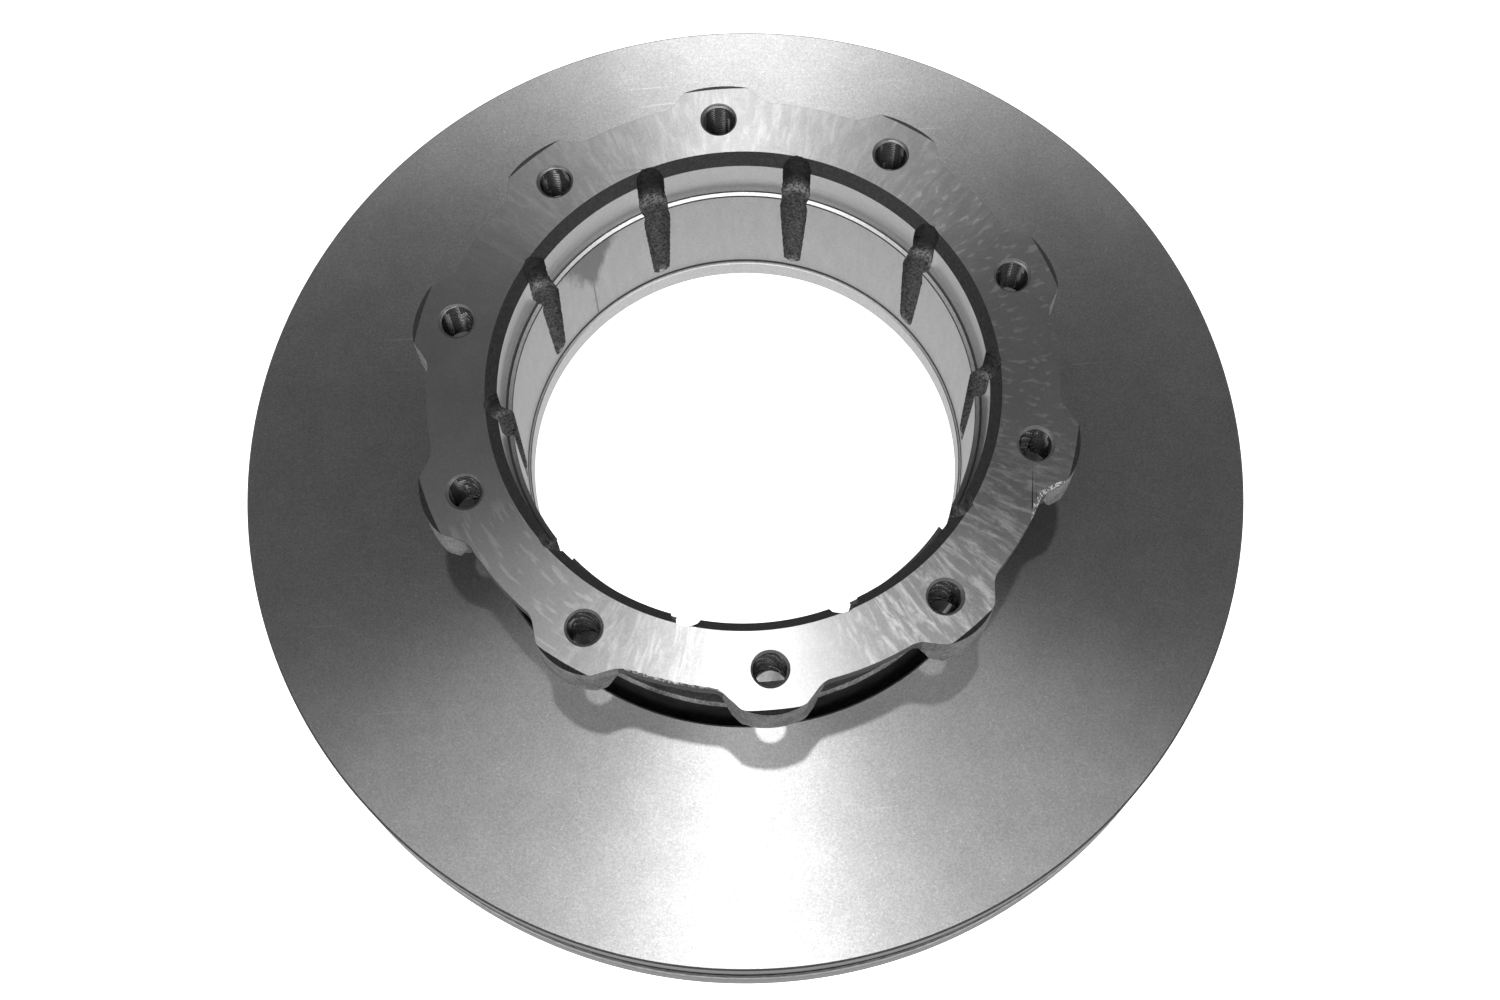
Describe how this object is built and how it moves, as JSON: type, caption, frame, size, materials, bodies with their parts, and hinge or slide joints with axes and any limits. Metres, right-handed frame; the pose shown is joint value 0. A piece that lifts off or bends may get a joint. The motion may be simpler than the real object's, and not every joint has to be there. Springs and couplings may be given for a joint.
{
  "type": "brake disc rotor",
  "caption": "Ventilated brake disc with a deep tubular neck, a wide stepped bore with cast grooves, and a lugged mounting flange tapped for bolts, for a heavy road axle.",
  "frame": {"origin": "on the disc's axis, in the plane of the far friction face that the disc rests on", "axes": "+Z along the disc's axis, from the far friction face towards the mounting flange; +Y from the axis through the centre of one tapped hole"},
  "size_m": [0.4299, 0.43, 0.1395],
  "materials": {
    "machined_flange": "turned faces and tapped holes, as-cast sides",
    "neck_iron": "turned bore, as-cast outside and grooves",
    "ground_friction": "fine-turned friction face with circular lay, as-cast on the vent side",
    "cast_vane": "rough as-cast"
  },
  "bodies": {
    "root": {"mounting_flange": "machined_flange", "neck_barrel": "neck_iron", "neck_root": "neck_iron", "near_friction_plate": "ground_friction", "far_friction_plate": "ground_friction", "long_vane_01": "cast_vane", "long_vane_02": "cast_vane", "long_vane_03": "cast_vane", "long_vane_04": "cast_vane", "long_vane_05": "cast_vane", "long_vane_06": "cast_vane", "long_vane_07": "cast_vane", "long_vane_08": "cast_vane", "long_vane_09": "cast_vane", "long_vane_10": "cast_vane", "long_vane_11": "cast_vane", "long_vane_12": "cast_vane", "long_vane_13": "cast_vane", "long_vane_14": "cast_vane", "long_vane_15": "cast_vane", "long_vane_16": "cast_vane", "long_vane_17": "cast_vane", "long_vane_18": "cast_vane", "long_vane_19": "cast_vane", "long_vane_20": "cast_vane", "short_vane_01": "cast_vane", "short_vane_02": "cast_vane", "short_vane_03": "cast_vane", "short_vane_04": "cast_vane", "short_vane_05": "cast_vane", "short_vane_06": "cast_vane", "short_vane_07": "cast_vane", "short_vane_08": "cast_vane", "short_vane_09": "cast_vane", "short_vane_10": "cast_vane", "short_vane_11": "cast_vane", "short_vane_12": "cast_vane", "short_vane_13": "cast_vane", "short_vane_14": "cast_vane", "short_vane_15": "cast_vane", "short_vane_16": "cast_vane", "short_vane_17": "cast_vane", "short_vane_18": "cast_vane", "short_vane_19": "cast_vane", "short_vane_20": "cast_vane"}
  },
  "joints": []
}
